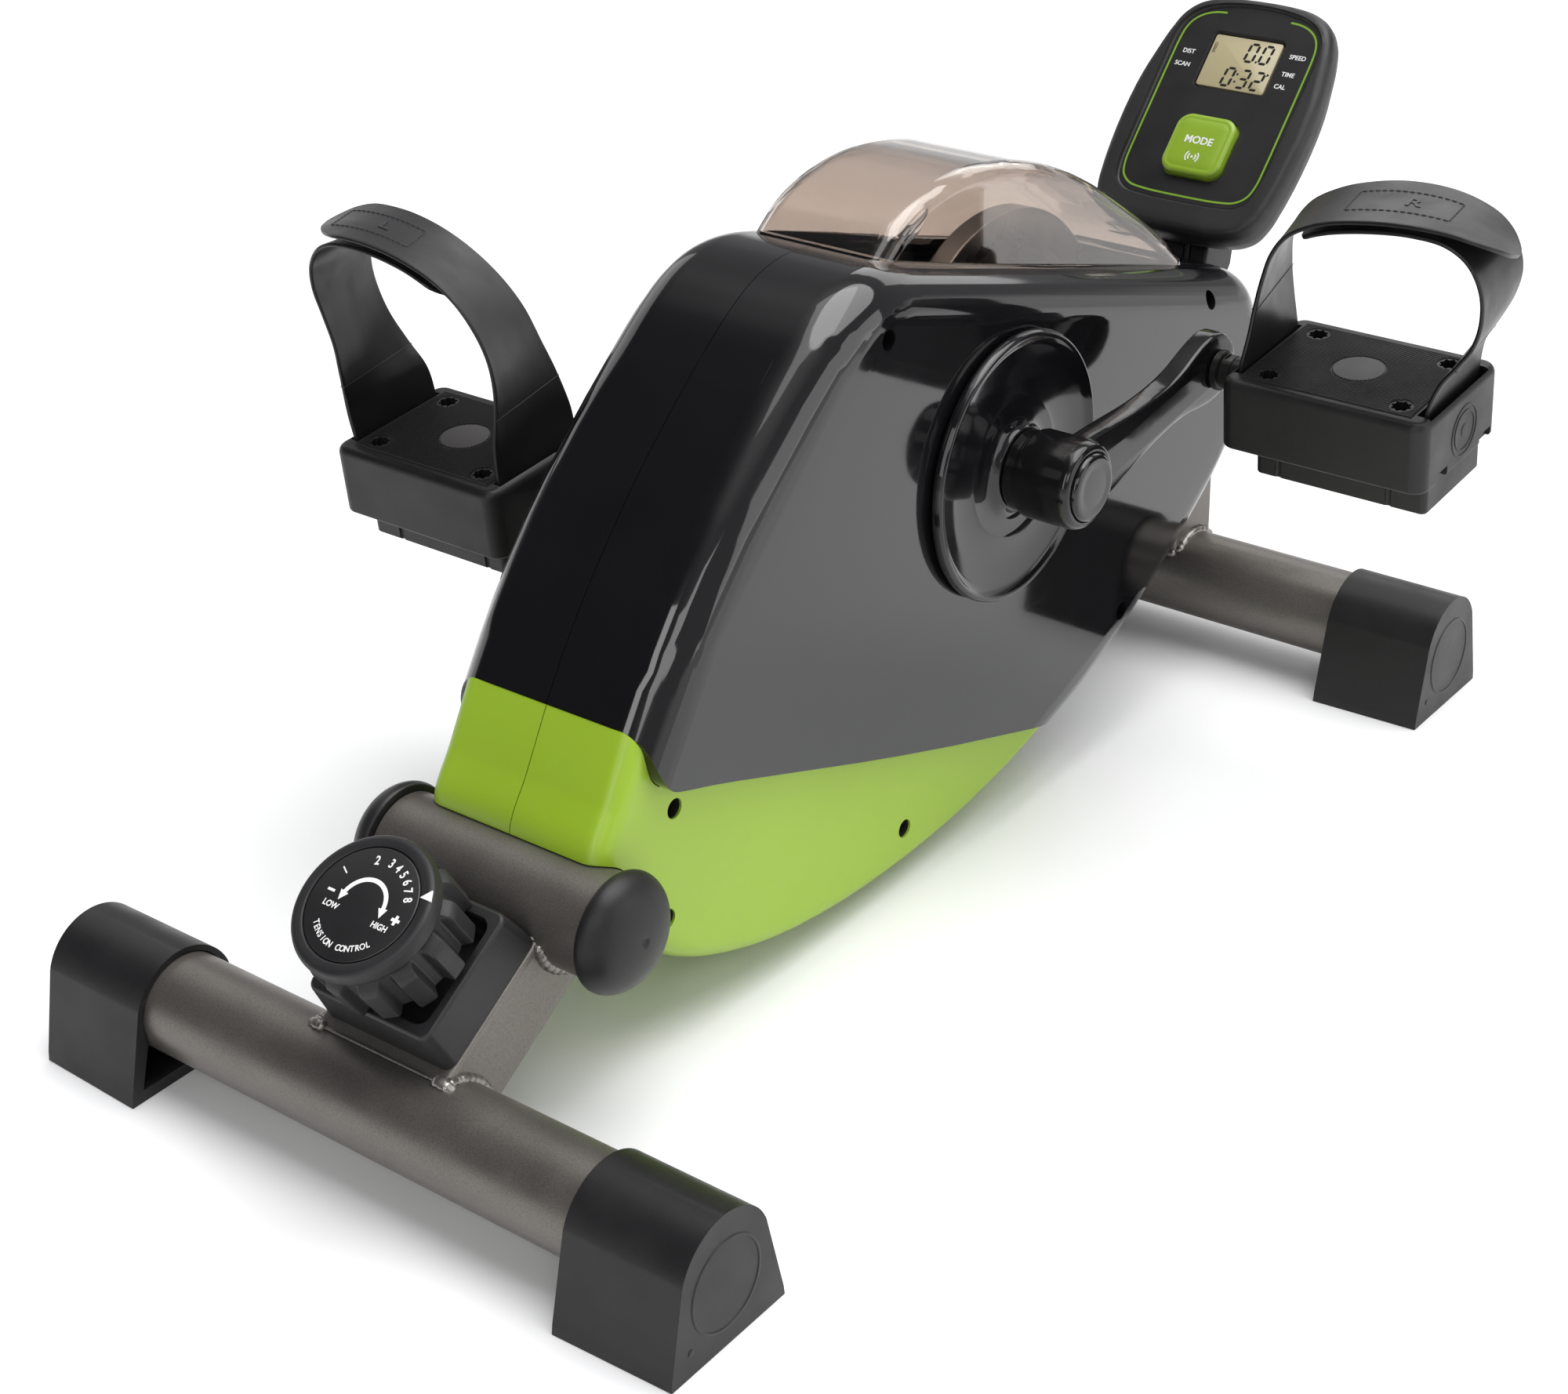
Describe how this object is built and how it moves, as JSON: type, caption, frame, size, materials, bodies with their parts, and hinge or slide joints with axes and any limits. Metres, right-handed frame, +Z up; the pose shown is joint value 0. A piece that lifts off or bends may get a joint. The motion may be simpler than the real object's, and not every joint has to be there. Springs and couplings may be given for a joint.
{
  "type": "pedal exerciser",
  "caption": "Floor-standing magnetic pedal exerciser with teardrop housing, cranked strap pedals, tubular base, tension dial and tilted display.",
  "frame": {"origin": "centre of the footprint's bounding box, on the floor", "axes": "+X to the rider's right, across the stabilizers; +Y from the tension dial towards the display, away from the rider; +Z up"},
  "size_m": [0.5476, 0.8044, 0.3563],
  "materials": {
    "tube_paint": "satin metallic grey powder coat",
    "rubber_black": "matte",
    "steel": "plain",
    "cast_flywheel": "machined rim",
    "gloss_black": "high gloss",
    "black_paint": "gloss black enamel",
    "green_plastic": "semi-gloss lime green",
    "smoked_window": "clear smoked, polished",
    "satin_black": "fine textured",
    "display": "reflective liquid crystal"
  },
  "bodies": {
    "frame_and_housing": {"front_stabilizer_tube": "tube_paint", "rear_stabilizer_tube": "tube_paint", "foot_cap_front_right": "rubber_black", "foot_cap_front_left": "rubber_black", "foot_cap_rear_right": "rubber_black", "foot_cap_rear_left": "rubber_black", "neck_box_tube": "tube_paint", "cross_tube": "tube_paint", "cross_tube_cap_right": "rubber_black", "cross_tube_cap_left": "rubber_black", "spine_beam": "tube_paint", "rear_post": "tube_paint", "bottom_bracket_shell": "tube_paint", "crank_bearing_cartridge": "steel", "flywheel_axle_shell": "tube_paint", "flywheel_bearing_cartridge": "steel", "housing_right": "gloss_black", "housing_left": "gloss_black", "lower_cover_right": "green_plastic", "lower_cover_left": "green_plastic", "housing_screw_front_upper": "steel", "housing_screw_front_lower": "steel", "housing_screw_belly": "steel", "housing_screw_top": "steel", "flywheel_window": "smoked_window", "drive_belt": "rubber_black", "brake_return_spring": "steel", "tension_cable": "rubber_black", "knob_bezel": "satin_black", "knob_dial_plate": "satin_black", "console_front_shell": "satin_black", "console_back_shell": "satin_black", "battery_door": "satin_black", "display_module": "display", "console_bracket": "satin_black", "speed_sensor_lead": "rubber_black"},
    "crank": {"crank_axle": "steel", "drive_pulley": "satin_black", "crank_arm_right": "black_paint", "crank_arm_left": "black_paint", "dust_cap_right": "gloss_black", "dust_cap_left": "gloss_black", "crank_disc_right": "gloss_black", "crank_disc_left": "gloss_black", "pedal_spindle_right": "steel", "pedal_spindle_left": "steel"},
    "flywheel_group": {"flywheel": "cast_flywheel", "flywheel_axle": "steel", "flywheel_pulley": "steel"},
    "right_pedal": {"pedal_body_right": "satin_black", "pedal_block_right": "satin_black", "strap_upper_right": "rubber_black", "strap_under_right": "rubber_black"},
    "left_pedal": {"pedal_body_left": "satin_black", "pedal_block_left": "satin_black", "strap_upper_left": "rubber_black", "strap_under_left": "rubber_black"},
    "knob": {"tension_knob": "satin_black"},
    "brake": {"magnet_bracket": "steel"},
    "button": {"mode_button": "green_plastic"}
  },
  "joints": [
    {"name": "crank_spin", "type": "hinge", "parent": "frame_and_housing", "child": "crank", "pos_m": [0, 0.03358, 0.21075], "axis": [1, 0, 0], "continuous": true},
    {"name": "flywheel_spin", "type": "hinge", "parent": "frame_and_housing", "child": "flywheel_group", "pos_m": [0, 0.14778, 0.195], "axis": [1, 0, 0], "continuous": true},
    {"name": "right_pedal_spin", "type": "hinge", "parent": "crank", "child": "right_pedal", "pos_m": [0.1873, 0.15867, 0.22889], "axis": [1, 0, 0], "continuous": true},
    {"name": "left_pedal_spin", "type": "hinge", "parent": "crank", "child": "left_pedal", "pos_m": [-0.1873, -0.09151, 0.19261], "axis": [1, 0, 0], "continuous": true},
    {"name": "tension_turn", "type": "hinge", "parent": "frame_and_housing", "child": "knob", "pos_m": [0, -0.32794, 0.08505], "axis": [0, -0.5277, 0.8494], "range_deg": [-270, 0]},
    {"name": "brake_swing", "type": "hinge", "parent": "frame_and_housing", "child": "brake", "pos_m": [-0.0355, 0.04178, 0.15], "axis": [1, 0, 0], "range_deg": [-5, 0]},
    {"name": "button_press", "type": "slide", "parent": "frame_and_housing", "child": "button", "axis": [0, 0.7059, -0.7083], "range_m": [0, 0.0015], "stiffness_N_per_m": 400}
  ],
  "couplings": [
    {"joint": "flywheel_spin", "follows": "crank_spin", "ratio": 4.2857},
    {"joint": "brake_swing", "follows": "tension_turn", "ratio": 0.018519}
  ]
}
